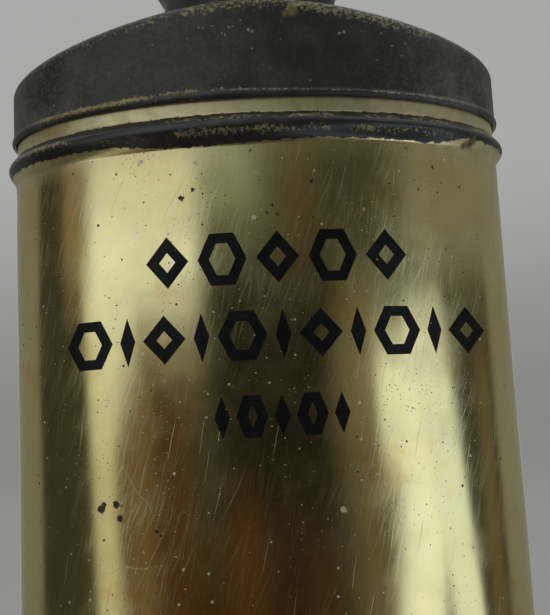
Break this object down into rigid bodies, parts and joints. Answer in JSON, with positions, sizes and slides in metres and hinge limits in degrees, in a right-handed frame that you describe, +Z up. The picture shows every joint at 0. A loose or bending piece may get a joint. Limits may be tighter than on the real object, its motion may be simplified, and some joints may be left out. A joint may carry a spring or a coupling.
{
  "type": "powder tin",
  "caption": "Flat oval tinplate powder tin with a recessed base, a beaded body, a pull-off shoulder and a turning sifter cap that opens and shuts its holes.",
  "frame": {"origin": "centre of the flat face that the tin stands on", "axes": "+Z up through the neck, +X along the oval's width, -Y out of the printed front"},
  "size_m": [0.0586, 0.0318, 0.1107],
  "materials": {
    "brass_lacquer": "tinplate under glossy brass-coloured lacquer, finely scratched",
    "black_japan": "satin black japan, dusty, worn through to brass along its edges",
    "plain_tin": "dull tinned steel"
  },
  "bodies": {
    "body": {"body_wall": "brass_lacquer", "base_plate": "black_japan"},
    "lid": {"shoulder": "black_japan", "neck": "black_japan", "sifter_plate": "brass_lacquer", "rivet": "plain_tin", "rivet_washer": "plain_tin"},
    "cap": {"sifter_cap": "black_japan"}
  },
  "joints": [
    {"name": "lid_lift", "type": "slide", "parent": "body", "child": "lid", "axis": [0, 0, 1], "range_m": [0, 0.02]},
    {"name": "cap_turn", "type": "hinge", "parent": "lid", "child": "cap", "pos_m": [0, 0, 0.1095], "axis": [0, 0, 1], "range_deg": [0, 30]}
  ]
}
